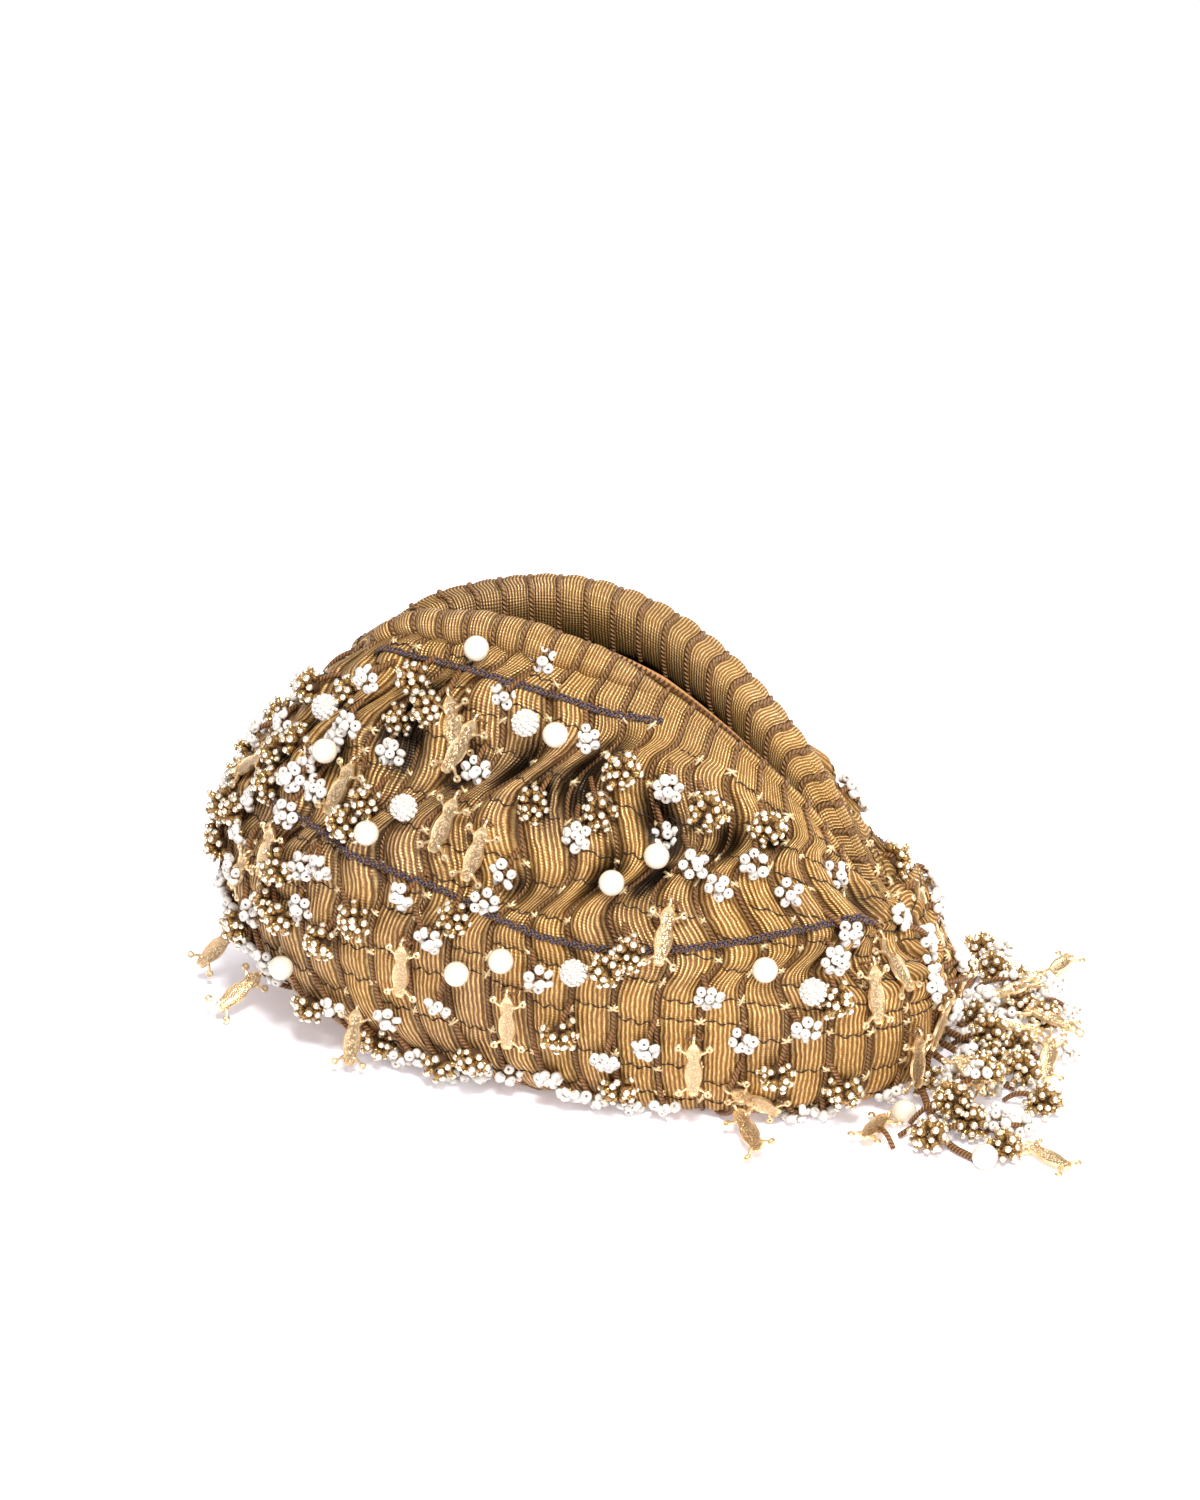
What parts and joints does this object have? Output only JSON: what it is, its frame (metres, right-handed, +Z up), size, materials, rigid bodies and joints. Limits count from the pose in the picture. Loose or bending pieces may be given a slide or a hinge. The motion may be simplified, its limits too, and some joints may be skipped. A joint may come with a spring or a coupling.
{
  "type": "potli bag",
  "caption": "Slumped pouch of sewn ribbons with a long gathered mouth, couched braids, beads, swinging brass charms and a tassel of beaded cords.",
  "frame": {"origin": "on the flat base, under the middle of the mouth", "axes": "+Z up, +X along the mouth towards the tassel, +Y to the rear lip"},
  "size_m": [0.2984, 0.1502, 0.1484],
  "materials": {
    "ribbon": "metallic woven ribbon, gold and brown, with a soft sheen",
    "lining": "matt dark brown cloth",
    "binding": "matt tan tape",
    "braid": "dark metallic chain-stitched braid",
    "brass": "pale antique brass with a textured face",
    "pearl": "cream pearl lustre",
    "seed_bead": "white pearly seed beads",
    "gold_bead": "gold drop beads with pearly tips",
    "cord": "twisted brown metallic cord"
  },
  "bodies": {
    "bag": {"bag_shell": "ribbon", "beaded_ball_1": "seed_bead", "beaded_ball_2": "seed_bead", "beaded_ball_3": "seed_bead", "beaded_ball_4": "seed_bead", "beaded_ball_5": "seed_bead", "braid_middle_back": "braid", "braid_middle_front": "braid", "braid_upper_back": "braid", "braid_upper_front": "braid", "lining": "lining", "mouth_binding": "binding", "pearl_1": "pearl", "pearl_10": "pearl", "pearl_11": "pearl", "pearl_12": "pearl", "pearl_2": "pearl", "pearl_3": "pearl", "pearl_4": "pearl", "pearl_5": "pearl", "pearl_6": "pearl", "pearl_7": "pearl", "pearl_8": "pearl", "pearl_9": "pearl", "tassel_brass_2": "brass", "tassel_brass_5": "brass", "tassel_bunch_10": "gold_bead", "tassel_bunch_11": "gold_bead", "tassel_bunch_13": "gold_bead", "tassel_bunch_15": "gold_bead", "tassel_bunch_17": "gold_bead", "tassel_bunch_6": "gold_bead", "tassel_bunch_7": "gold_bead", "tassel_cord_1": "cord", "tassel_cord_2": "cord", "tassel_cord_3": "cord", "tassel_cord_4": "cord", "tassel_cord_5": "cord", "tassel_cord_6": "cord", "tassel_flower_12": "seed_bead", "tassel_flower_14": "seed_bead", "tassel_flower_16": "seed_bead", "tassel_flower_3": "seed_bead", "tassel_flower_4": "seed_bead", "tassel_flower_8": "seed_bead", "tassel_flower_9": "seed_bead", "tassel_pearl_1": "pearl"},
    "charm_1": {"brass_charm_1": "brass"},
    "charm_2": {"brass_charm_2": "brass"},
    "charm_3": {"brass_charm_3": "brass"},
    "charm_4": {"brass_charm_4": "brass"},
    "charm_5": {"brass_charm_5": "brass"},
    "charm_6": {"brass_charm_6": "brass"},
    "charm_7": {"brass_charm_7": "brass"},
    "charm_8": {"brass_charm_8": "brass"},
    "charm_9": {"brass_charm_9": "brass"},
    "charm_10": {"brass_charm_10": "brass"},
    "charm_11": {"brass_charm_11": "brass"},
    "charm_12": {"brass_charm_12": "brass"},
    "charm_13": {"brass_charm_13": "brass"}
  },
  "joints": [
    {"name": "charm_1_swing", "type": "hinge", "parent": "bag", "child": "charm_1", "pos_m": [-0.05925, -0.03806, 0.10317], "axis": [-0.8625, 0.4235, 0.2771], "range_deg": [0, 60]},
    {"name": "charm_2_swing", "type": "hinge", "parent": "bag", "child": "charm_2", "pos_m": [-0.02058, -0.03263, 0.12119], "axis": [-0.9087, 0.2318, 0.3472], "range_deg": [0, 60]},
    {"name": "charm_3_swing", "type": "hinge", "parent": "bag", "child": "charm_3", "pos_m": [-0.02311, -0.04498, 0.10005], "axis": [-0.9426, 0.1737, 0.2853], "range_deg": [0, 60]},
    {"name": "charm_4_swing", "type": "hinge", "parent": "bag", "child": "charm_4", "pos_m": [-0.01254, -0.04825, 0.09356], "axis": [-0.9588, 0.1037, 0.2645], "range_deg": [0, 60]},
    {"name": "charm_5_swing", "type": "hinge", "parent": "bag", "child": "charm_5", "pos_m": [-0.08649, -0.04023, 0.0777], "axis": [-0.8289, 0.5278, 0.1854], "range_deg": [0, 60]},
    {"name": "charm_6_swing", "type": "hinge", "parent": "bag", "child": "charm_6", "pos_m": [-0.03649, -0.06029, 0.05408], "axis": [-0.9887, 0.1283, 0.0781], "range_deg": [0, 60]},
    {"name": "charm_7_swing", "type": "hinge", "parent": "bag", "child": "charm_7", "pos_m": [-0.00144, -0.06316, 0.0435], "axis": [-0.9999, 0.0082, 0.0117], "range_deg": [0, 60]},
    {"name": "charm_8_swing", "type": "hinge", "parent": "bag", "child": "charm_8", "pos_m": [0.04643, -0.0488, 0.07594], "axis": [-0.972, -0.1777, 0.1537], "range_deg": [0, 60]},
    {"name": "charm_9_swing", "type": "hinge", "parent": "bag", "child": "charm_9", "pos_m": [0.05715, -0.05886, 0.03459], "axis": [-0.9823, -0.1873, -0.0009], "range_deg": [0, 60]},
    {"name": "charm_10_swing", "type": "hinge", "parent": "bag", "child": "charm_10", "pos_m": [0.10585, -0.03059, 0.05492], "axis": [-0.6883, -0.7236, 0.0513], "range_deg": [0, 60]},
    {"name": "charm_11_swing", "type": "hinge", "parent": "bag", "child": "charm_11", "pos_m": [0.12034, -0.02606, 0.02909], "axis": [-0.5747, -0.8183, 0.0047], "range_deg": [0, 60]},
    {"name": "charm_12_swing", "type": "hinge", "parent": "bag", "child": "charm_12", "pos_m": [-0.00221, 0.05225, 0.09018], "axis": [0.9684, 0.0522, -0.2439], "range_deg": [0, 60]},
    {"name": "charm_13_swing", "type": "hinge", "parent": "bag", "child": "charm_13", "pos_m": [0.08448, 0.04868, 0.04949], "axis": [0.9158, -0.4003, -0.0332], "range_deg": [0, 60]}
  ]
}
